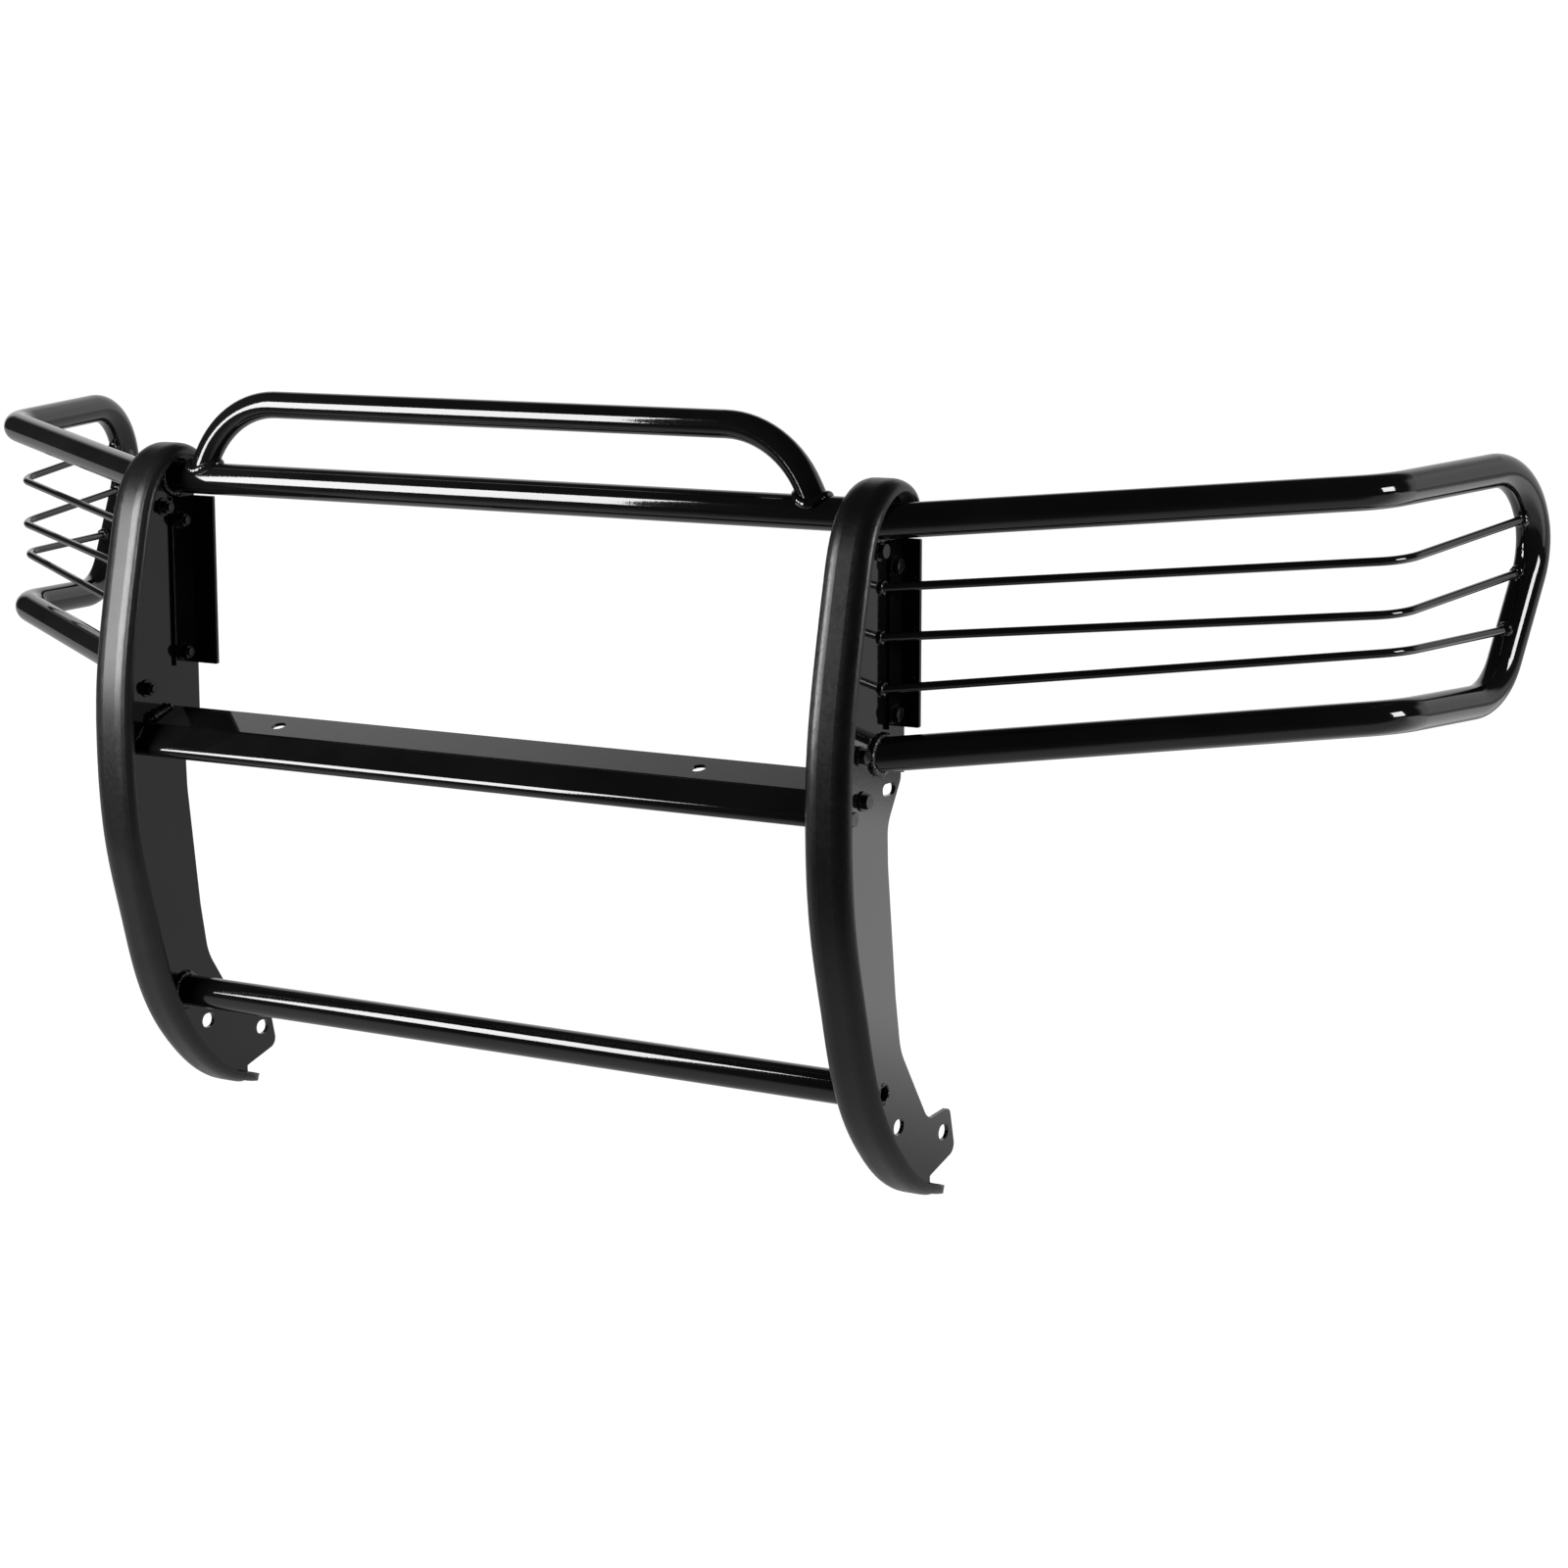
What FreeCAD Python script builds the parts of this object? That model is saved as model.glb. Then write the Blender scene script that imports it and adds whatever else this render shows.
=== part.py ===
import FreeCAD, Part

import math
import os

os.makedirs("parts", exist_ok=True)

V = FreeCAD.Vector
ACROSS = V(1, 0, 0)

# Millimetres. X runs across the vehicle, -Y is the front and +Z is up.
# The origin is the vehicle's centre plane, on the line through the two forward lower mounting slots.

# Uprights: flat plates that stand fore and aft, one on each side
PLATE_X = 493.0
PLATE_T = 5.0
PLATE_INNER = PLATE_X - PLATE_T / 2
PLATE_OUTER = PLATE_X + PLATE_T / 2

# Sloping top rear corner of an upright and of a wing plate: y, z, corner radius
PLATE_TOP_Z = 702.0
PLATE_TOP = [(-14.0, PLATE_TOP_Z, 6.0), (0.0, 688.0, 6.0)]

# Rear and lower outline of an upright, from the top rear corner down and round to the front
PLATE_REAR = [
    (0.0, 392.0, 12.0),
    (-29.0, 345.0, 40.0),
    (-27.5, 300.0, 160.0),
    (-9.0, 150.0, 120.0),
    (3.0, 86.0, 70.0),
    (68.0, -8.0, 24.0),
    (119.0, -4.0, 10.0),
    (132.0, -57.0, 12.0),
    (73.0, -74.0, 2.0),
    (74.0, -90.0, 0.0),
    (-190.0, -90.0, 0.0),
    (-190.0, PLATE_TOP_Z, 0.0),
]

# The nose line: the front edge of an upright, from the end of the top hook round to the tip of the nose
NOSE_LINE = [
    (-8.0, 688.0),
    (-14.0, 700.5),
    (-27.0, 708.0),
    (-47.0, 709.5),
    (-71.0, 699.5),
    (-96.5, 670.0),
    (-114.0, 617.0),
    (-136.0, 517.0),
    (-148.5, 437.0),
    (-151.0, 367.0),
    (-140.5, 242.0),
    (-117.0, 150.0),
    (-97.5, 82.5),
    (-66.5, 18.5),
    (-33.0, -23.0),
    (-3.5, -50.0),
    (38.0, -72.5),
    (62.0, -79.0),
    (86.0, -86.0),
]

# Flat bar along the nose line, hidden under the rubber strip
NOSE_BAR_W = 40.0
NOSE_BAR_T = 5.0
NOSE_BAR_END_Y = 50.0
HOOK_FRONT_Y = -80.0
HOOK_LOW_Z = 600.0

# Rubber strip: a hollow section with a flat crown and rounded sides, trimmed to a spoon shape at the bottom
STRIP_HALF_W = 28.2
STRIP_HALF_FLAT = 9.0
STRIP_CROWN = 12.9
STRIP_WALL = 3.0
STRIP_TIP_LEN = 40.0

# Cross tubes between the uprights
TUBE_R = 19.05
TUBE_WALL = 2.5
TOP_TUBE_Y, TOP_TUBE_Z = -36.4, 681.3
LOW_TUBE_Y, LOW_TUBE_Z = -40.8, 47.6
DRAIN_R = 11.0
DRAIN_Y, DRAIN_Z = -34.0, 45.5

# Low hoop on top of the upper cross tube; it stands a little off centre
HOOP_R = 15.875
HOOP_WALL = 2.1
HOOP_Z = 772.9
HOOP_SHIFT_X = -18.0
HOOP_CORNER_X = 385.0
HOOP_BEND_R = 118.0
HOOP_LEG_SLANT = 27.0

# Bent sheet crossmember: a shelf tilted down towards the front, a sloping face and a level bottom flange.
# Its outer line is listed from the rear of the shelf to the rear of the flange: y, z, bend radius
CROSS_T = 4.0
CROSS_LINE = [(-54.2, 404.8, 0.0), (-105.6, 389.6, 8.0), (-142.2, 353.0, 9.0), (-92.0, 353.0, 0.0)]
CROSS_TILT = 16.5
CROSS_HOLE_R = 8.75
CROSS_HOLE_X = (-303.0, 285.0)
CROSS_HOLE_BACK = 27.0

# End tabs that close the crossmember at each side, bolted to the uprights
TAB_T = 4.0

# Wings: a bent tube with three rods across it on each side; the right side is drawn and the left mirrored
WING_PLATE_T = 4.0
WING_PLATE_OUTER = PLATE_OUTER + WING_PLATE_T
WING_PLATE_FOOT = [(-140.0, 402.0), (-104.0, 400.5), (-60.0, 407.5), (0.0, 399.5)]
WING_TUBE_PATH = [
    (500.5, -60.5, 677.8),
    (967.0, 199.8, 711.5),
    (1040.8, 545.7, 726.6),
    (1016.6, 418.2, 466.6),
    (979.4, 222.5, 468.9),
    (500.5, -51.6, 426.2),
]
WING_FRONT_BEND_R = 70.0
WING_UPPER_BEND_R = 84.5
WING_LOWER_BEND_R = 71.5
ROD_R = 4.8
ROD_BEND_R = 60.0
ROD_PATHS = {
    "upper": [(500.5, -50.6, 606.9), (980.5, 228.0, 636.8), (1028.6, 478.0, 664.5)],
    "middle": [(500.5, -52.5, 553.5), (979.9, 225.2, 579.3), (1025.2, 478.0, 604.3)],
    "lower": [(500.5, -48.9, 497.0), (980.8, 229.9, 538.2), (1025.4, 446.0, 542.9)],
}
WING_CUT_BACK = 40.0

# Angle brackets that stiffen the bolted wing joint, one on each face of each upright: front y, rear y and
# how far the leg stands off
ANGLE_T = 4.0
ANGLE_LOW_Z = 452.0
ANGLE_HIGH_Z = 657.0
ANGLE_CORNER_R = 2.0
INNER_ANGLE = (-46.0, -4.0, 36.0)
OUTER_ANGLE = (-41.0, -10.0, 26.0)

# Fasteners
BOLT_R = 5.0
BOLT_HOLE_R = 5.5
BOLT_HEAD_AF = 15.0
BOLT_HEAD_H = 7.0
BOLT_CHAMFER = 1.0
FLANGE_R = 11.0
FLANGE_T = 2.2
NUT_BORE_R = 5.05
NUT_H = 8.0
BOLT_THREAD_OUT = 3.0
WING_SHORT_BOLTS = [(-57.5, 646.5), (-96.5, 430.5)]
WING_LONG_BOLTS = [(-32.0, 629.0), (-32.0, 468.5)]

# Bolts screwed straight into the end tabs of the crossmember
TAB_BOLTS = [(-84.0, 379.5), (-116.0, 365.0)]
TAB_THREAD_R = 5.05

# Mounting slots in the uprights: centre y, centre z, length along Y, end radius
SLOT_FRONT = (0.0, 0.0, 23.0, 9.0)
SLOT_REAR = (104.5, -30.0, 23.0, 9.0)
SLOT_LOBE = (-26.0, 384.0, 28.0, 6.75)


def save(shape, node):
    shape.exportStep("parts/" + node + ".step")


def mirrored(shape):
    return shape.mirror(V(0, 0, 0), ACROSS)


def save_pair(shape, node):
    """Export a right-hand part and its mirror image."""
    save(shape, node + "_right")
    save(mirrored(shape), node + "_left")


def cylinder(radius, start, end):
    axis = end - start
    return Part.makeCylinder(radius, axis.Length, start, axis)


def rounded_path(points, radii, closed=False):
    """Wire through 3D points, with each corner rounded to its radius by an arc."""
    count = len(points)
    edges = []
    last = None
    first = None
    for i in range(count):
        here = points[i]
        radius = radii[i]
        if radius == 0.0:
            enter = here
            leave = here
        else:
            back = (points[i - 1] - here).normalize()
            ahead = (points[(i + 1) % count] - here).normalize()
            half = back.getAngle(ahead) / 2
            enter = here + back * (radius / math.tan(half))
            leave = here + ahead * (radius / math.tan(half))
            centre = here + (back + ahead).normalize() * (radius / math.sin(half))
            middle = centre + (here - centre).normalize() * radius
        if last is not None:
            edges.append(Part.makeLine(last, enter))
        if radius > 0.0:
            edges.append(Part.Arc(enter, middle, leave).toShape())
        if first is None:
            first = enter
        last = leave
    if closed:
        edges.append(Part.makeLine(last, first))
    return Part.Wire(edges)


def sweep(path, profile):
    """Solid swept by a closed profile wire along a path wire."""
    return path.makePipeShell([profile], True, False)


def ring(radius, path):
    """Circle of a radius round the start of a path."""
    edge = path.Edges[0]
    direction = edge.tangentAt(edge.FirstParameter)
    return Part.Wire([Part.makeCircle(radius, edge.valueAt(edge.FirstParameter), direction)])


def side_prism(outline, x0, x1):
    """Prism across the vehicle from x0 to x1 over a closed outline of y, z, corner radius."""
    points = [V(x0, y, z) for y, z, radius in outline]
    wire = rounded_path(points, [radius for y, z, radius in outline], closed=True)
    return Part.Face(wire).extrude(V(x1 - x0, 0, 0))


def nose_edge(x):
    curve = Part.BSplineCurve()
    curve.interpolate([V(x, y, z) for y, z in NOSE_LINE])
    return curve.toShape()


def behind_nose(x0, x1):
    """Everything behind the nose line, from x0 to x1."""
    y_end, z_end = NOSE_LINE[-1]
    y_top, z_top = NOSE_LINE[0]
    far = 200.0
    corners = [V(x0, y_end, z_end), V(x0, far, z_end), V(x0, far, z_top), V(x0, y_top, z_top)]
    edges = [nose_edge(x0)]
    edges += [Part.makeLine(a, b) for a, b in zip(corners, corners[1:])]
    return Part.Face(Part.Wire(edges)).extrude(V(x1 - x0, 0, 0))


def nose_sweep(profile):
    """Sweep along the nose line with the profile's plane always holding the X direction."""
    spine = Part.Wire([nose_edge(PLATE_X)])
    pipe = Part.BRepOffsetAPI.MakePipeShell(spine)
    pipe.setBiNormalMode(ACROSS)
    pipe.add(profile)
    pipe.build()
    pipe.makeSolid()
    return pipe.shape()


def nose_frame(at_end):
    """Origin, forward direction and outward direction of the nose line at one of its ends."""
    edge = nose_edge(PLATE_X)
    parameter = edge.LastParameter if at_end else edge.FirstParameter
    along = edge.tangentAt(parameter).normalize()
    outward = along.cross(ACROSS)
    return edge.valueAt(parameter), along, outward


def slot(y, z, length, end_r, x0, x1):
    """Horizontal slot with full-radius ends."""
    half = length / 2 - end_r
    front = cylinder(end_r, V(x0, y - half, z), V(x1, y - half, z))
    rear = cylinder(end_r, V(x0, y + half, z), V(x1, y + half, z))
    middle = Part.makeBox(x1 - x0, 2 * half, 2 * end_r, V(x0, y - half, z - end_r))
    return front.fuse([middle, rear]).removeSplitter()


def holes_across(places, radius, x0, x1):
    return [cylinder(radius, V(x0, y, z), V(x1, y, z)) for y, z in places]


def upright_plate():
    plate = side_prism(PLATE_TOP + PLATE_REAR, PLATE_INNER, PLATE_OUTER)
    plate = plate.common(behind_nose(PLATE_INNER, PLATE_OUTER))
    x0 = PLATE_INNER - 1
    x1 = PLATE_OUTER + 1
    holes = holes_across(WING_SHORT_BOLTS + WING_LONG_BOLTS + TAB_BOLTS, BOLT_HOLE_R, x0, x1)
    holes += holes_across([(DRAIN_Y, DRAIN_Z)], DRAIN_R, x0, x1)
    for y, z, length, end_r in (SLOT_FRONT, SLOT_REAR, SLOT_LOBE):
        holes.append(slot(y, z, length, end_r, x0, x1))
    return plate.cut(holes)


def nose_bar():
    origin, along, outward = nose_frame(at_end=False)
    half = ACROSS * (NOSE_BAR_W / 2)
    top = outward * NOSE_BAR_T
    corners = [origin - half, origin + half, origin + half + top, origin - half + top, origin - half]
    bar = nose_sweep(Part.makePolygon(corners))
    tip = Part.makeBox(100, 100, 100, V(PLATE_X - 50, NOSE_BAR_END_Y, NOSE_LINE[-1][1] - 50))
    hook = Part.makeBox(100, 200, 200, V(PLATE_X - 50, HOOK_FRONT_Y, HOOK_LOW_Z))
    return bar.cut([tip, hook])


def strip_profile(half_width, height):
    """Closed profile at the hook end of the nose line: a flat crown between two quarter ellipses."""
    origin, along, outward = nose_frame(at_end=False)
    lips = []
    crowns = []
    sides = []
    for side in (1, -1):
        centre = origin + ACROSS * (side * STRIP_HALF_FLAT)
        lip = origin + ACROSS * (side * half_width)
        crown = centre + outward * height
        sides.append(Part.Arc(Part.Ellipse(lip, crown, centre), 0, math.pi / 2).toShape())
        lips.append(lip)
        crowns.append(crown)
    return Part.Wire([sides[0], Part.makeLine(*crowns), sides[1], Part.makeLine(*lips)])


def tip_trim(inset):
    """What is cut away from the end of the strip to leave a rounded tip, both in plan and from the side."""
    end, along, outward = nose_frame(at_end=True)
    reach = STRIP_TIP_LEN - inset
    start = end - along * STRIP_TIP_LEN
    half_width = STRIP_HALF_W - inset
    wide = ACROSS * (2 * STRIP_HALF_W)
    beyond = along * (2 * STRIP_TIP_LEN)
    low = start - outward * STRIP_CROWN
    block = Part.Face(Part.makePolygon([low - wide, low + wide, low + wide + beyond, low - wide + beyond,
                                        low - wide]))
    plan = Part.Ellipse(low + along * reach, low + ACROSS * half_width, low)
    in_plan = block.cut(Part.Face(Part.Wire([plan.toShape()]))).extrude(outward * (3 * STRIP_CROWN))
    base = start - wide
    deep = outward * (2 * STRIP_CROWN)
    side = Part.Face(Part.makePolygon([base, base + beyond, base + beyond + deep, base + deep, base]))
    profile = Part.Ellipse(base + along * reach, base + outward * (STRIP_CROWN - inset), base)
    from_side = side.cut(Part.Face(Part.Wire([profile.toShape()]))).extrude(wide * 2)
    return [in_plan, from_side]


def rub_strip():
    outer = nose_sweep(strip_profile(STRIP_HALF_W, STRIP_CROWN)).cut(tip_trim(0.0))
    inner = nose_sweep(strip_profile(STRIP_HALF_W - STRIP_WALL, STRIP_CROWN - STRIP_WALL))
    return outer.cut(inner.cut(tip_trim(STRIP_WALL)))


def cross_tube(y, z, half_length):
    start = V(-half_length, y, z)
    end = V(half_length, y, z)
    return cylinder(TUBE_R, start, end).cut(cylinder(TUBE_R - TUBE_WALL, start, end))


def hoop_tube():
    lean = math.tan(math.radians(HOOP_LEG_SLANT))
    foot_x = HOOP_CORNER_X + (HOOP_Z - TOP_TUBE_Z) * lean
    points = [
        V(HOOP_SHIFT_X - foot_x, TOP_TUBE_Y, TOP_TUBE_Z),
        V(HOOP_SHIFT_X - HOOP_CORNER_X, TOP_TUBE_Y, HOOP_Z),
        V(HOOP_SHIFT_X + HOOP_CORNER_X, TOP_TUBE_Y, HOOP_Z),
        V(HOOP_SHIFT_X + foot_x, TOP_TUBE_Y, TOP_TUBE_Z),
    ]
    path = rounded_path(points, [0.0, HOOP_BEND_R, HOOP_BEND_R, 0.0])
    tube = sweep(path, ring(HOOP_R, path)).cut(sweep(path, ring(HOOP_R - HOOP_WALL, path)))
    seat = cylinder(TUBE_R, V(-PLATE_INNER, TOP_TUBE_Y, TOP_TUBE_Z), V(PLATE_INNER, TOP_TUBE_Y, TOP_TUBE_Z))
    below = Part.makeBox(2 * PLATE_INNER, 100, 100, V(-PLATE_INNER, TOP_TUBE_Y - 50, TOP_TUBE_Z - 100))
    return tube.cut([seat, below])


def cross_outline(x):
    """Outer line of the crossmember at x, as points and bend radii."""
    return [V(x, y, z) for y, z, radius in CROSS_LINE], [radius for y, z, radius in CROSS_LINE]


def cross_point(x, behind, below):
    """Point on the shelf, at a distance behind its front crease and below its surface."""
    tilt = math.radians(CROSS_TILT)
    y, z, radius = CROSS_LINE[1]
    back = V(0, math.cos(tilt), math.sin(tilt))
    down = V(0, math.sin(tilt), -math.cos(tilt))
    return V(x, y, z) + back * behind + down * below


def crossmember():
    half = PLATE_INNER - TAB_T
    outer = rounded_path(*cross_outline(-half))
    sheet = outer.makeOffset2D(-CROSS_T, openResult=True, fill=True).extrude(V(2 * half, 0, 0))
    holes = []
    for x in CROSS_HOLE_X:
        start = cross_point(x, CROSS_HOLE_BACK, -1)
        holes.append(cylinder(CROSS_HOLE_R, start, cross_point(x, CROSS_HOLE_BACK, CROSS_T + 1)))
    return sheet.cut(holes)


def end_tab():
    x0 = PLATE_INNER - TAB_T
    tab = Part.Face(rounded_path(*cross_outline(x0), closed=True)).extrude(V(TAB_T, 0, 0))
    return tab.cut(holes_across(TAB_BOLTS, TAB_THREAD_R, x0 - 1, PLATE_INNER + 1))


def wing_plate():
    outline = [(-140.0, PLATE_TOP_Z, 0.0)] + PLATE_TOP
    outline += [(y, z, 0.0) for y, z in reversed(WING_PLATE_FOOT)]
    plate = side_prism(outline, PLATE_OUTER, WING_PLATE_OUTER)
    plate = plate.common(behind_nose(PLATE_OUTER, WING_PLATE_OUTER))
    places = WING_SHORT_BOLTS + WING_LONG_BOLTS
    return plate.cut(holes_across(places, BOLT_HOLE_R, PLATE_OUTER - 1, WING_PLATE_OUTER + 1))


def reach_inboard(points):
    """The same path with its first leg run on past the wing plate, to be trimmed there."""
    start = points[0] + (points[0] - points[1]).normalize() * WING_CUT_BACK
    return [start] + points[1:]


def inboard_block():
    """Everything inboard of the wing plate's outer face, as a trimming tool."""
    return Part.makeBox(200, 400, 900, V(WING_PLATE_OUTER - 200, -250, 0))


def wing_path():
    points = reach_inboard([V(*p) for p in WING_TUBE_PATH])
    points = list(reversed(reach_inboard(list(reversed(points)))))
    radii = [0.0, WING_FRONT_BEND_R, WING_UPPER_BEND_R, WING_LOWER_BEND_R, WING_FRONT_BEND_R, 0.0]
    return rounded_path(points, radii)


def wing_tube():
    path = wing_path()
    tube = sweep(path, ring(TUBE_R, path)).cut(sweep(path, ring(TUBE_R - TUBE_WALL, path)))
    return tube.cut(inboard_block())


def wing_rod(points):
    path = rounded_path(reach_inboard([V(*p) for p in points]), [0.0, ROD_BEND_R, 0.0])
    rod = sweep(path, ring(ROD_R, path))
    outline = wing_path()
    return rod.cut([inboard_block(), sweep(outline, ring(TUBE_R, outline))])


def angle_bracket(face_x, sizes, side):
    """Angle on a plate face at face_x; side is +1 on the outboard face and -1 on the inboard one."""
    front_y, rear_y, leg = sizes
    height = ANGLE_HIGH_Z - ANGLE_LOW_Z
    flange = Part.makeBox(ANGLE_T, rear_y - front_y, height, V(face_x, front_y, ANGLE_LOW_Z))
    web = Part.makeBox(leg, ANGLE_T, height, V(face_x, rear_y - ANGLE_T, ANGLE_LOW_Z))
    tip_x = face_x + leg
    tips = [e for e in web.Edges if abs(e.BoundBox.XMin - tip_x) < 0.01 and e.BoundBox.ZLength < 0.01]
    angle = flange.fuse(web.makeFillet(ANGLE_CORNER_R, tips)).removeSplitter()
    angle = angle.cut(holes_across(WING_LONG_BOLTS, BOLT_HOLE_R, face_x - 1, face_x + ANGLE_T + 1))
    if side < 0:
        angle = angle.mirror(V(face_x, 0, 0), ACROSS)
    return angle


def hexagon(x, length, y, z):
    corner_r = BOLT_HEAD_AF / math.sqrt(3)
    corners = []
    for i in range(7):
        turn = math.radians(60 * i)
        corners.append(V(x, y + corner_r * math.cos(turn), z + corner_r * math.sin(turn)))
    prism = Part.Face(Part.makePolygon(corners)).extrude(V(length, 0, 0))
    bottom = min(x, x + length)
    round_off = Part.makeCylinder(corner_r, abs(length), V(bottom, y, z), ACROSS)
    ends = [e for e in round_off.Edges if abs(e.BoundBox.XLength) < 0.01]
    far_end = [e for e in ends if abs(e.BoundBox.XMin - (x + length)) < 0.01]
    return prism.common(round_off.makeChamfer(BOLT_CHAMFER, far_end))


def flange_bolt(y, z, seat_x, thread_x):
    """Hex flange bolt whose head sits on seat_x, outboard, and whose thread comes just out of thread_x."""
    shank = cylinder(BOLT_R, V(thread_x - BOLT_THREAD_OUT, y, z), V(seat_x + 1, y, z))
    flange = cylinder(FLANGE_R, V(seat_x, y, z), V(seat_x + FLANGE_T, y, z))
    return shank.fuse([flange, hexagon(seat_x + FLANGE_T, BOLT_HEAD_H, y, z)]).removeSplitter()


def flange_nut(y, z, seat_x):
    flange = cylinder(FLANGE_R, V(seat_x, y, z), V(seat_x - FLANGE_T, y, z))
    body = flange.fuse(hexagon(seat_x - FLANGE_T, -NUT_H, y, z)).removeSplitter()
    bore = cylinder(NUT_BORE_R, V(seat_x + 1, y, z), V(seat_x - FLANGE_T - NUT_H - 1, y, z))
    return body.cut(bore)


def both_sides(shapes):
    return Part.makeCompound(shapes + [mirrored(s) for s in shapes])


def fasteners():
    angle_in = PLATE_INNER - ANGLE_T
    angle_out = WING_PLATE_OUTER + ANGLE_T
    nut = FLANGE_T + NUT_H
    short_bolts = [flange_bolt(y, z, WING_PLATE_OUTER, PLATE_INNER - nut) for y, z in WING_SHORT_BOLTS]
    short_bolts += [flange_bolt(y, z, PLATE_OUTER, PLATE_INNER - TAB_T) for y, z in TAB_BOLTS]
    long_bolts = [flange_bolt(y, z, angle_out, angle_in - nut) for y, z in WING_LONG_BOLTS]
    nuts = [flange_nut(y, z, PLATE_INNER) for y, z in WING_SHORT_BOLTS]
    nuts += [flange_nut(y, z, angle_in) for y, z in WING_LONG_BOLTS]
    return short_bolts, long_bolts, nuts


save_pair(upright_plate(), "upright_plate")
save_pair(nose_bar(), "nose_bar")
save_pair(rub_strip(), "rub_strip")
save(cross_tube(TOP_TUBE_Y, TOP_TUBE_Z, PLATE_INNER), "top_cross_tube")
save(cross_tube(LOW_TUBE_Y, LOW_TUBE_Z, PLATE_INNER), "lower_cross_tube")
save(hoop_tube(), "hoop_tube")
save(crossmember(), "crossmember")
save_pair(end_tab(), "crossmember_end_tab")
save_pair(wing_plate(), "wing_plate")
save_pair(wing_tube(), "wing_tube")
for name, points in ROD_PATHS.items():
    save_pair(wing_rod(points), "wing_rod_" + name)
save_pair(angle_bracket(PLATE_INNER, INNER_ANGLE, -1), "inner_angle")
save_pair(angle_bracket(WING_PLATE_OUTER, OUTER_ANGLE, 1), "outer_angle")
short_bolts, long_bolts, nuts = fasteners()
save(both_sides(short_bolts), "short_flange_bolts")
save(both_sides(long_bolts), "long_flange_bolts")
save(both_sides(nuts), "flange_nuts")
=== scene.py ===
import math
import random

import bpy
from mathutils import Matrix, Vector, noise


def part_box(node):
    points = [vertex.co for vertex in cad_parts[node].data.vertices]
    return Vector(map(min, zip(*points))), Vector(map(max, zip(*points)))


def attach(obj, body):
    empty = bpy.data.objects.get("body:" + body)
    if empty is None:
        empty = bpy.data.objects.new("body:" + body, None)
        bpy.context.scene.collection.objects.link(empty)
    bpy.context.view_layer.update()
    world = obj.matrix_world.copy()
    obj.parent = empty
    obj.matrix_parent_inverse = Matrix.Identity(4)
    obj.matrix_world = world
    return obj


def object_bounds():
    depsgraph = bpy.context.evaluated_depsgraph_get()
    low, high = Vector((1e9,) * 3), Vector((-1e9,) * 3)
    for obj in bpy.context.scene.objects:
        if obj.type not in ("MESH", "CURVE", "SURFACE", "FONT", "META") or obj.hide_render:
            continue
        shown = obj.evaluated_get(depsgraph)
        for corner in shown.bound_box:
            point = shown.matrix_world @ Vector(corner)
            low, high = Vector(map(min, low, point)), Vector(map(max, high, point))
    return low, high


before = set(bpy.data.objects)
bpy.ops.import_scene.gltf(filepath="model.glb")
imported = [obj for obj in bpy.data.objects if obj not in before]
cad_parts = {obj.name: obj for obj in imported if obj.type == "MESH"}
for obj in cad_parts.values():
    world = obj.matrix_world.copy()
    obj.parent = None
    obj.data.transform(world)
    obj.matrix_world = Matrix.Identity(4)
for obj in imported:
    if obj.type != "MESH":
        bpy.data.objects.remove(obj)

CAD_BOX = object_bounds()
V = Vector
X_AXIS = V((1, 0, 0))


def centre_yz(node):
    low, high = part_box(node)
    return (low[1] + high[1]) / 2, (low[2] + high[2]) / 2


def half_size(node, axis):
    low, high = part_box(node)
    return (high[axis] - low[axis]) / 2


# Metres, in the CAD frame: axes, radii and faces of the welded pieces, for the weld beads
TUBE_R = half_size("top_cross_tube", 2)
HOOP_R = half_size("hoop_tube", 1)
ROD_R = 0.0048
PLATE_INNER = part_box("upright_plate_right")[0][0]
PLATE_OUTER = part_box("upright_plate_right")[1][0]
WING_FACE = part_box("wing_plate_right")[1][0]
TOP_TUBE = centre_yz("top_cross_tube")
LOW_TUBE = centre_yz("lower_cross_tube")
HOOP_SHIFT_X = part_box("hoop_tube")[0][0] + half_size("hoop_tube", 0)
HOOP_FOOT_INSET = 0.0081
HOOP_FOOT_X = half_size("hoop_tube", 0) - HOOP_FOOT_INSET
HOOP_LEAN = math.radians(27.0)
WING_ROOTS = [
    ((0.5005, -0.0605, 0.6778), (0.9670, 0.1998, 0.7115)),
    ((0.5005, -0.0516, 0.4262), (0.9794, 0.2225, 0.4689)),
]
ROD_ROOTS = [
    ((0.5005, -0.0506, 0.6069), (0.9805, 0.2280, 0.6368)),
    ((0.5005, -0.0525, 0.5535), (0.9799, 0.2252, 0.5793)),
    ((0.5005, -0.0489, 0.4970), (0.9808, 0.2299, 0.5382)),
]
# Each rod runs into the outer leg of the wing tube just inside the far corner of its box
RODS = ("wing_rod_upper_right", "wing_rod_middle_right", "wing_rod_lower_right")
ROD_END_INSET = V((0.0053, 0.0048, 0.0045))
ROD_END_AXIS = V((0.19, 0.98, 0.08)).normalized()
# Seams between the crossmember and its end tab: y and z from the rear top edge of the shelf
CROSS_END_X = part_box("crossmember")[1][0]
CROSS_REAR_Y, CROSS_TOP_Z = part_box("crossmember")[1][1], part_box("crossmember")[1][2]
CROSS_SHELF_SEAM = [(-0.0474, -0.0133), (-0.0254, -0.0066), (-0.0039, -0.0003)]
CROSS_FACE_SEAM = [(-0.0569, -0.0188), (-0.0654, -0.0273), (-0.0729, -0.0348)]
# Drain hole at each end of the lower cross tube
DRAIN = (LOW_TUBE[0] + 0.0068, LOW_TUBE[1] - 0.0021)
DRAIN_R = 0.0110
# Middle of a rubber strip, and half the width that its ridges are laid out over
STRIP_MIDDLE_X = 0.493
STRIP_HALF_WIDTH = 0.0282

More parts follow.
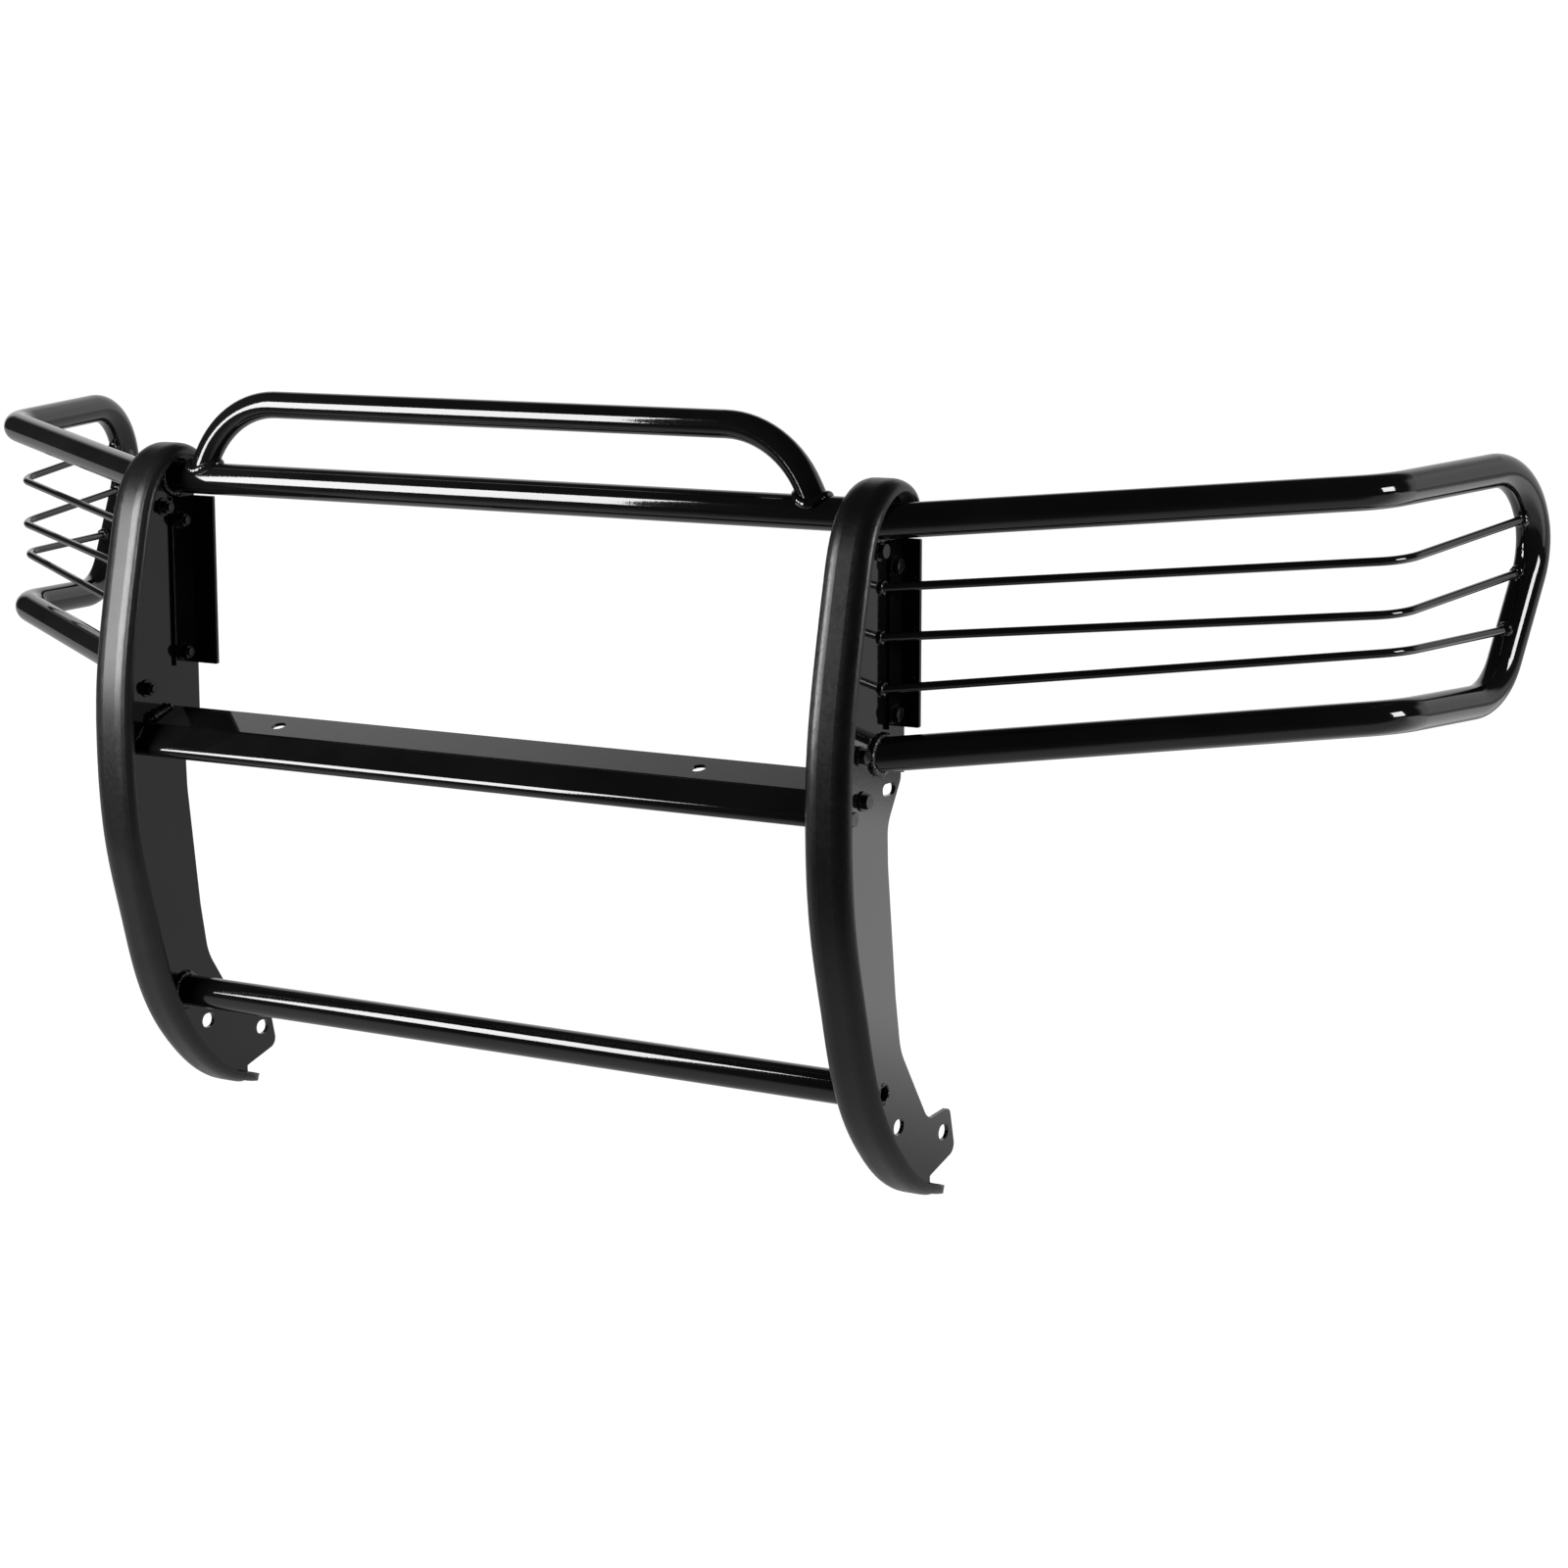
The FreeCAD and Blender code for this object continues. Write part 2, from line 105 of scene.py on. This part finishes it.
# Weld beads: corners and spacing of the sections, length of a ripple, scales of the noise
BEAD_SIDES = 12
BEAD_STEP = 0.0008
RIPPLE = 0.0036
LUMP_SCALE = 130
ROUGH_SCALE = 380
# How far a bead's middle lies from the end face it is laid on, and outside a tube's or a rod's surface
BEAD_OFFSET = 0.0010
TUBE_GAP = 0.0008
ROD_GAP = 0.0006

WHITE = (1, 1, 1, 1)
BACKDROP_STRENGTH = 1.05
FLOOR_Z = CAD_BOX[0][2] - 0.002
FLOOR_HALF = 14.0
CAMERA_PLACE = V((2.3601, -3.3619, 1.0458))
CAMERA_TARGET = V((0.35988, -0.0215, 0.37726))


# ---------- materials ----------

def new_material(name):
    mat = bpy.data.materials.new(name)
    mat.use_nodes = True
    nodes = mat.node_tree.nodes
    return mat, nodes, mat.node_tree.links, nodes["Principled BSDF"]


def add_noise(nodes, links, scale, detail, distortion=0.0, stretch=None):
    place = nodes.new("ShaderNodeTexCoord").outputs["Object"]
    if stretch is not None:
        mapping = nodes.new("ShaderNodeMapping")
        mapping.inputs["Scale"].default_value = stretch
        links.new(place, mapping.inputs["Vector"])
        place = mapping.outputs["Vector"]
    tex = nodes.new("ShaderNodeTexNoise")
    tex.inputs["Scale"].default_value = scale
    tex.inputs["Detail"].default_value = detail
    tex.inputs["Distortion"].default_value = distortion
    links.new(place, tex.inputs["Vector"])
    return tex.outputs["Fac"]


def spread(nodes, links, source, low, high, start=0.0, end=1.0):
    """Maps a texture's start..end onto low..high."""
    ramp = nodes.new("ShaderNodeMapRange")
    ramp.inputs["From Min"].default_value = start
    ramp.inputs["From Max"].default_value = end
    ramp.inputs["To Min"].default_value = low
    ramp.inputs["To Max"].default_value = high
    links.new(source, ramp.inputs["Value"])
    return ramp.outputs["Result"]


def tint(nodes, links, source, dark, light):
    """Blends between two colours by a 0..1 value."""
    mix = nodes.new("ShaderNodeMix")
    mix.data_type = "RGBA"
    mix.inputs["A"].default_value = (*dark, 1)
    mix.inputs["B"].default_value = (*light, 1)
    links.new(source, mix.inputs["Factor"])
    return mix.outputs["Result"]


def add_bump(nodes, links, height, strength, distance, below=None):
    bump = nodes.new("ShaderNodeBump")
    bump.inputs["Strength"].default_value = strength
    bump.inputs["Distance"].default_value = distance
    links.new(height, bump.inputs["Height"])
    if below is not None:
        links.new(below, bump.inputs["Normal"])
    return bump.outputs["Normal"]


def combine(nodes, links, operation, first, second):
    """Adds or multiplies two values."""
    node = nodes.new("ShaderNodeMath")
    node.operation = operation
    links.new(first, node.inputs[0])
    links.new(second, node.inputs[1])
    return node.outputs["Value"]


def coat_material():
    """Gloss black powder coat: deep black, faint orange peel, roughness that varies finely."""
    mat, nodes, links, shader = new_material("gloss_black_coat")
    cloud = add_noise(nodes, links, 9.0, 4.0)
    dust = add_noise(nodes, links, 900.0, 2.0)
    peel = add_noise(nodes, links, 240.0, 1.5)
    shade = spread(nodes, links, cloud, 0.0, 1.0, 0.35, 0.7)
    colour = tint(nodes, links, shade, (0.0022, 0.0022, 0.0023), (0.0048, 0.0048, 0.0050))
    links.new(colour, shader.inputs["Base Color"])
    links.new(spread(nodes, links, dust, 0.05, 0.10, 0.45, 0.75), shader.inputs["Roughness"])
    links.new(add_bump(nodes, links, peel, 0.04, 0.0006), shader.inputs["Normal"])
    return mat


def lip_ridges(nodes, links):
    """Height of the two ridges that run the length of a strip, by distance from its middle."""
    coords = nodes.new("ShaderNodeTexCoord")
    split = nodes.new("ShaderNodeSeparateXYZ")
    links.new(coords.outputs["Object"], split.inputs["Vector"])
    value = split.outputs["X"]
    for operation, number in (("ABSOLUTE", 0.0), ("SUBTRACT", STRIP_MIDDLE_X), ("ABSOLUTE", 0.0)):
        step = nodes.new("ShaderNodeMath")
        step.operation = operation
        step.inputs[1].default_value = number
        links.new(value, step.inputs[0])
        value = step.outputs["Value"]
    ramp = nodes.new("ShaderNodeValToRGB")
    ramp.color_ramp.interpolation = "EASE"
    ramp.color_ramp.elements[0].position = 0.0
    ramp.color_ramp.elements[0].color = (0.6, 0.6, 0.6, 1)
    ramp.color_ramp.elements[1].position = 1.0
    ramp.color_ramp.elements[1].color = (0.5, 0.5, 0.5, 1)
    for place, level in ((0.60, 0.6), (0.70, 0.35), (0.77, 1.0), (0.86, 0.45)):
        stop = ramp.color_ramp.elements.new(place)
        stop.color = (level, level, level, 1)
    links.new(spread(nodes, links, value, 0.0, 1.0, 0.0, STRIP_HALF_WIDTH), ramp.inputs["Fac"])
    return ramp.outputs["Color"]


def rubber_material():
    """Satin black rubber extrusion: ridges along both lips, lengthwise flow marks, fine grain and scuffs."""
    mat, nodes, links, shader = new_material("black_rubber_strip")
    mottle = add_noise(nodes, links, 22.0, 5.0, 0.6)
    grain = add_noise(nodes, links, 2600.0, 2.0)
    scuff = add_noise(nodes, links, 70.0, 6.0, 2.5)
    flow = add_noise(nodes, links, 260.0, 3.0, stretch=(1.0, 0.02, 0.02))
    shade = spread(nodes, links, mottle, 0.0, 1.0, 0.3, 0.75)
    colour = tint(nodes, links, shade, (0.0032, 0.0032, 0.0034), (0.0062, 0.0062, 0.0062))
    links.new(colour, shader.inputs["Base Color"])
    links.new(spread(nodes, links, scuff, 0.30, 0.37, 0.35, 0.7), shader.inputs["Roughness"])
    shader.inputs["Specular IOR Level"].default_value = 0.4
    fine = add_bump(nodes, links, grain, 0.05, 0.0002)
    ridged = add_bump(nodes, links, lip_ridges(nodes, links), 0.25, 0.0010, fine)
    marked = add_bump(nodes, links, flow, 0.06, 0.0004, ridged)
    links.new(add_bump(nodes, links, mottle, 0.04, 0.002, marked), shader.inputs["Normal"])
    return mat


def fastener_material():
    """Black plated steel: glossy and slightly metallic, with rubbed spots."""
    mat, nodes, links, shader = new_material("black_plated_fastener")
    rub = add_noise(nodes, links, 180.0, 4.0, 0.8)
    shade = spread(nodes, links, rub, 0.0, 1.0, 0.4, 0.75)
    colour = tint(nodes, links, shade, (0.006, 0.006, 0.0065), (0.022, 0.022, 0.024))
    links.new(colour, shader.inputs["Base Color"])
    links.new(spread(nodes, links, rub, 0.10, 0.24, 0.3, 0.7), shader.inputs["Roughness"])
    shader.inputs["Metallic"].default_value = 0.35
    links.new(add_bump(nodes, links, rub, 0.15, 0.0004), shader.inputs["Normal"])
    return mat


COAT = coat_material()
RUBBER = rubber_material()
FASTENER = fastener_material()


def material_of(node):
    if node.startswith("rub_strip"):
        return RUBBER
    if "bolt" in node or "nuts" in node:
        return FASTENER
    return COAT


for node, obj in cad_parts.items():
    for place in obj.material_slots:
        place.material = material_of(node)


# ---------- weld beads ----------

def add_mesh(name, verts, faces, material):
    mesh = bpy.data.meshes.new(name)
    mesh.from_pydata([tuple(v) for v in verts], [], faces)
    mesh.update()
    for poly in mesh.polygons:
        poly.use_smooth = True
    obj = bpy.data.objects.new(name, mesh)
    bpy.context.scene.collection.objects.link(obj)
    mesh.materials.append(material)
    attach(obj, "root")
    return obj


def resample(points, step, closed):
    """Points spaced evenly along a polyline."""
    line = points + [points[0]] if closed else points
    lengths = [(b - a).length for a, b in zip(line, line[1:])]
    total = sum(lengths)
    count = max(8, round(total / step))
    out = []
    i = 0
    walked = 0.0
    for k in range(count if closed else count + 1):
        target = total * k / count
        while i < len(lengths) - 1 and walked + lengths[i] < target:
            walked += lengths[i]
            i += 1
        out.append(line[i].lerp(line[i + 1], (target - walked) / max(lengths[i], 1e-9)))
    return out


def bead(points, radius, closed, seed, reference, lumps=1.0):
    """Weld bead along a line: overlapping ripples of uneven size. The section is laid out from a reference
    direction that stays clear of the line's own direction, so the bead does not twist."""
    path = resample(points, BEAD_STEP, closed)
    count = len(path)
    phase = random.Random(seed).random() * 10
    verts = []
    for i, p in enumerate(path):
        ahead = path[(i + 1) % count] if closed or i < count - 1 else p
        back = path[i - 1] if closed or i > 0 else p
        along = (ahead - back).normalized()
        side = (reference - along * reference.dot(along)).normalized()
        up = along.cross(side)
        ripples = count * BEAD_STEP / RIPPLE
        travelled = i / count * (round(ripples) if closed else ripples)
        saw = travelled - math.floor(travelled)
        lump = noise.noise(p * LUMP_SCALE + V((phase, 0, 0)))
        r = radius * (1 + lumps * (0.20 * (1 - saw) ** 0.6 - 0.12 + 0.42 * lump))
        if not closed:
            ends = min(i, count - 1 - i) / 5
            r *= min(1.0, math.sqrt(ends) + 0.05)
        for k in range(BEAD_SIDES):
            turn = 2 * math.pi * k / BEAD_SIDES
            facing = V((math.cos(turn), math.sin(turn), phase))
            rough = 1 + 0.16 * lumps * noise.noise(p * ROUGH_SCALE + facing)
            verts.append(p + (side * math.cos(turn) + up * math.sin(turn)) * r * rough)
    faces = []
    for i in range(count if closed else count - 1):
        a = i * BEAD_SIDES
        b = ((i + 1) % count) * BEAD_SIDES
        for k in range(BEAD_SIDES):
            n = (k + 1) % BEAD_SIDES
            faces.append((a + k, a + n, b + n, b + k))
    if not closed:
        faces.append(tuple(range(BEAD_SIDES - 1, -1, -1)))
        faces.append(tuple((count - 1) * BEAD_SIDES + k for k in range(BEAD_SIDES)))
    return verts, faces


def circle(centre, axis, radius, count):
    """Points of a circle about a centre, square to an axis."""
    side = axis.orthogonal().normalized()
    up = axis.cross(side)
    turns = [2 * math.pi * k / count for k in range(count)]
    return [centre + (side * math.cos(t) + up * math.sin(t)) * radius for t in turns]


def plane_ring(start, towards, radius, face_x):
    """Where a round piece from start towards a point meets the plane x = face_x."""
    axis = (V(towards) - V(start)).normalized()
    return [p + axis * ((face_x - p.x) / axis.x) for p in circle(V(start), axis, radius, 72)]


def saddle_ring(foot, axis, radius, line_yz, line_r):
    """Where a round leg along axis sits on a tube that runs along X."""
    ring = []
    for p in circle(foot, axis, radius, 96):
        dy, dz = p.y - line_yz[0], p.z - line_yz[1]
        a = axis.y ** 2 + axis.z ** 2
        b = 2 * (dy * axis.y + dz * axis.z)
        c = dy * dy + dz * dz - line_r ** 2
        root = max(b * b - 4 * a * c, 0.0)
        ring.append(p + axis * ((-b + math.sqrt(root)) / (2 * a)))
    return ring


def join_beads(name, parts):
    """One object from several beads."""
    verts, faces = [], []
    for part_verts, part_faces in parts:
        base = len(verts)
        verts += part_verts
        faces += [tuple(base + i for i in f) for f in part_faces]
    return add_mesh(name, verts, faces, COAT)


def flip(points, sign):
    return [V((p.x * sign, p.y, p.z)) for p in points]


def weld_cross_tubes(sign, side_name):
    """Fillets of both cross tubes on the upright, and the bead inside its drain hole."""
    beads = []
    for seed, tube in ((11, TOP_TUBE), (12, LOW_TUBE)):
        ring = plane_ring((0, *tube), (1, *tube), TUBE_R + TUBE_GAP, PLATE_INNER - BEAD_OFFSET)
        beads.append(bead(flip(ring, sign), 0.0042, True, seed, X_AXIS))
    plug = circle(V((PLATE_OUTER - BEAD_OFFSET, *DRAIN)), X_AXIS, DRAIN_R - 0.0006, 48)
    beads.append(bead(flip(plug, sign), 0.0022, True, 13, X_AXIS, 1.4))
    join_beads("weld_cross_tubes_" + side_name, beads)


def weld_wing_roots(sign, side_name):
    """Fillets of the wing tube and the three rods on the wing plate."""
    beads = []
    groups = (
        (WING_ROOTS, TUBE_R + TUBE_GAP, 0.0044, 21),
        (ROD_ROOTS, ROD_R + ROD_GAP, 0.0030, 31),
    )
    for roots, ring_r, bead_r, first_seed in groups:
        for i, (root, bend) in enumerate(roots):
            ring = plane_ring(root, bend, ring_r, WING_FACE + BEAD_OFFSET)
            beads.append(bead(flip(ring, sign), bead_r, True, first_seed + i, X_AXIS))
    join_beads("weld_wing_roots_" + side_name, beads)


def weld_rod_ends(sign, side_name):
    """Beads where the rods run into the wing tube."""
    beads = []
    axis = V((sign * ROD_END_AXIS.x, ROD_END_AXIS.y, ROD_END_AXIS.z))
    for i, rod in enumerate(RODS):
        centre = V(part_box(rod)[1]) - ROD_END_INSET - ROD_END_AXIS * BEAD_OFFSET
        ring = circle(centre, ROD_END_AXIS, ROD_R - 0.0004, 48)
        beads.append(bead(flip(ring, sign), 0.0042, True, 61 + i, axis, 1.3))
    join_beads("weld_rod_ends_" + side_name, beads)


def weld_crossmember(sign, side_name):
    """Two short beads between the crossmember and its end tab."""
    beads = []
    for seam, radius, seed in ((CROSS_SHELF_SEAM, 0.0042, 41), (CROSS_FACE_SEAM, 0.0038, 42)):
        line = [V((CROSS_END_X, CROSS_REAR_Y + y, CROSS_TOP_Z + z)) for y, z in seam]
        beads.append(bead(flip(line, sign), radius, False, seed, X_AXIS, 1.8))
    join_beads("weld_crossmember_" + side_name, beads)


def weld_hoop_feet():
    """Smooth fillets where the hoop's legs stand on the top cross tube."""
    beads = []
    for sign in (1, -1):
        axis = V((-sign * math.sin(HOOP_LEAN), 0, math.cos(HOOP_LEAN)))
        foot = V((HOOP_SHIFT_X + sign * HOOP_FOOT_X, *TOP_TUBE))
        ring = saddle_ring(foot, axis, HOOP_R + 0.0010, TOP_TUBE, TUBE_R + 0.0004)
        beads.append(bead(ring, 0.0052, True, 51 + sign, axis, 0.25))
    join_beads("weld_hoop_feet", beads)


for sign, side_name in ((1, "right"), (-1, "left")):
    weld_cross_tubes(sign, side_name)
    weld_wing_roots(sign, side_name)
    weld_rod_ends(sign, side_name)
    weld_crossmember(sign, side_name)
weld_hoop_feet()


# ---------- studio ----------

def add_area(name, place, aim, size_x, size_y, watts):
    data = bpy.data.lights.new(name, "AREA")
    data.shape = "RECTANGLE"
    data.size = size_x
    data.size_y = size_y
    data.energy = watts
    obj = bpy.data.objects.new(name, data)
    obj.location = place
    obj.rotation_euler = (V(aim) - V(place)).to_track_quat("-Z", "Y").to_euler()
    obj.visible_camera = False
    bpy.context.scene.collection.objects.link(obj)


def camera_only(nodes, links, lit, seen, output):
    """Plain white to the camera, and the studio's own light to everything else."""
    path = nodes.new("ShaderNodeLightPath")
    mix = nodes.new("ShaderNodeMixShader")
    links.new(path.outputs["Is Camera Ray"], mix.inputs["Fac"])
    links.new(lit, mix.inputs[1])
    links.new(seen, mix.inputs[2])
    links.new(mix.outputs["Shader"], output.inputs["Surface"])


def soft_step(nodes, links, value, start, end, low, high):
    result = spread(nodes, links, value, low, high, start, end)
    result.node.interpolation_type = "SMOOTHSTEP"
    return result


def white_to_camera(nodes, kind, output):
    """The plain white shader that only the camera sees."""
    seen = nodes.new(kind)
    seen.inputs["Color"].default_value = WHITE
    seen.inputs["Strength"].default_value = BACKDROP_STRENGTH
    return seen.outputs[output]


def floor_material():
    """Pale floor that glows behind the guard, most behind its right side, and hardly in front of it."""
    mat, nodes, links, shader = new_material("pale_floor")
    speck = add_noise(nodes, links, 3.0, 3.0)
    links.new(tint(nodes, links, speck, (0.10, 0.10, 0.10), (0.12, 0.12, 0.12)), shader.inputs["Base Color"])
    shader.inputs["Roughness"].default_value = 0.9
    shader.inputs["Specular IOR Level"].default_value = 0.0
    shader.inputs["Emission Color"].default_value = WHITE
    place = nodes.new("ShaderNodeTexCoord").outputs["Object"]
    split = nodes.new("ShaderNodeSeparateXYZ")
    links.new(place, split.inputs["Vector"])
    depth = split.outputs["Y"]
    across = nodes.new("ShaderNodeVectorMath")
    across.operation = "DOT_PRODUCT"
    across.inputs[1].default_value = (1.0, -0.6, 0.0)
    links.new(place, across.inputs[0])
    patch = soft_step(nodes, links, across.outputs["Value"], 0.18, 0.45, 0.0, 1.15)
    for start, end, low, high in ((0.1, 0.9, 0.0, 1.0), (2.0, 2.6, 1.0, 0.0)):
        edge = soft_step(nodes, links, depth, start, end, low, high)
        patch = combine(nodes, links, "MULTIPLY", patch, edge)
    glow = combine(nodes, links, "ADD", patch, soft_step(nodes, links, depth, -0.9, -0.2, 0.03, 0.5))
    links.new(glow, shader.inputs["Emission Strength"])
    seen = white_to_camera(nodes, "ShaderNodeEmission", "Emission")
    camera_only(nodes, links, shader.outputs["BSDF"], seen, nodes["Material Output"])
    return mat


def add_floor():
    mesh = bpy.data.meshes.new("floor")
    corners = [(-1, -1), (1, -1), (1, 1), (-1, 1)]
    mesh.from_pydata([(x * FLOOR_HALF, y * FLOOR_HALF, FLOOR_Z) for x, y in corners], [], [(0, 1, 2, 3)])
    mesh.materials.append(floor_material())
    floor = bpy.data.objects.new("floor", mesh)
    bpy.context.scene.collection.objects.link(floor)


def add_world():
    """Dark surroundings, except for a white wall low behind the guard."""
    world = bpy.data.worlds.new("studio")
    world.use_nodes = True
    bpy.context.scene.world = world
    nodes = world.node_tree.nodes
    links = world.node_tree.links
    background = nodes["Background"]
    background.inputs["Color"].default_value = WHITE
    split = nodes.new("ShaderNodeSeparateXYZ")
    links.new(nodes.new("ShaderNodeTexCoord").outputs["Generated"], split.inputs["Vector"])
    behind = soft_step(nodes, links, split.outputs["Y"], 0.40, 0.60, 0.0, 1.0)
    low_down = soft_step(nodes, links, split.outputs["Z"], 0.50, 0.70, 1.0, 0.0)
    wall = combine(nodes, links, "MULTIPLY", behind, low_down)
    links.new(spread(nodes, links, wall, 0.035, 0.9), background.inputs["Strength"])
    seen = white_to_camera(nodes, "ShaderNodeBackground", "Background")
    camera_only(nodes, links, background.outputs["Background"], seen, nodes["World Output"])


def add_camera():
    data = bpy.data.cameras.new("camera")
    data.sensor_width = 36.0
    data.lens = 82.05
    camera = bpy.data.objects.new("camera", data)
    camera.location = CAMERA_PLACE
    camera.rotation_euler = (CAMERA_TARGET - CAMERA_PLACE).to_track_quat("-Z", "Y").to_euler()
    bpy.context.scene.collection.objects.link(camera)
    bpy.context.scene.camera = camera


add_floor()
add_world()
add_area("softbox_left", (-0.93, -1.10, 0.89), (-0.93, 0.0, 0.89), 0.84, 0.90, 48.0)
add_area("softbox_right", (2.40, 0.0, 1.10), (1.00, 0.10, 0.60), 0.50, 0.60, 19.0)
add_camera()
bpy.context.scene.view_settings.view_transform = "Standard"
